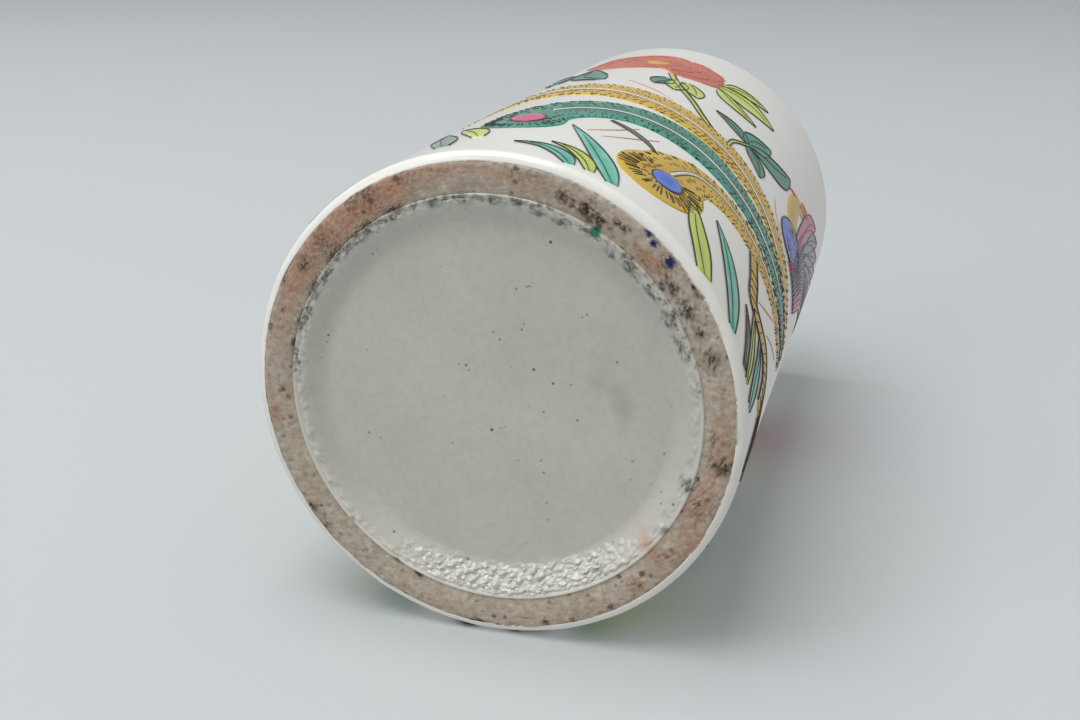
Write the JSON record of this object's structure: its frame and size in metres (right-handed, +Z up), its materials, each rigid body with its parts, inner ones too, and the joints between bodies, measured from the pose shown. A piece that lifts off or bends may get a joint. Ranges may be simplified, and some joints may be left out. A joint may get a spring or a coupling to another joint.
{
  "type": "brush pot",
  "caption": "Upright cylindrical porcelain pot for brushes, open at the top, with a recessed glazed base and a bare foot ring.",
  "frame": {"origin": "centre of the circle on which the foot rests", "axes": "+Z up along the pot's axis to its mouth; -Y faces the side that is uppermost in the picture"},
  "size_m": [0.072, 0.072, 0.128],
  "materials": {
    "bare_foot": "matt, gritty, stained",
    "clay": "matt",
    "white_glaze": "gloss",
    "grey_glaze": "gloss"
  },
  "bodies": {
    "root": {"foot_ring": "bare_foot", "base_slab": "clay", "wall_cylinder": "clay", "seam_coil": "clay", "outer_glaze": "white_glaze", "inner_glaze": "white_glaze", "base_glaze": "grey_glaze"}
  },
  "joints": []
}
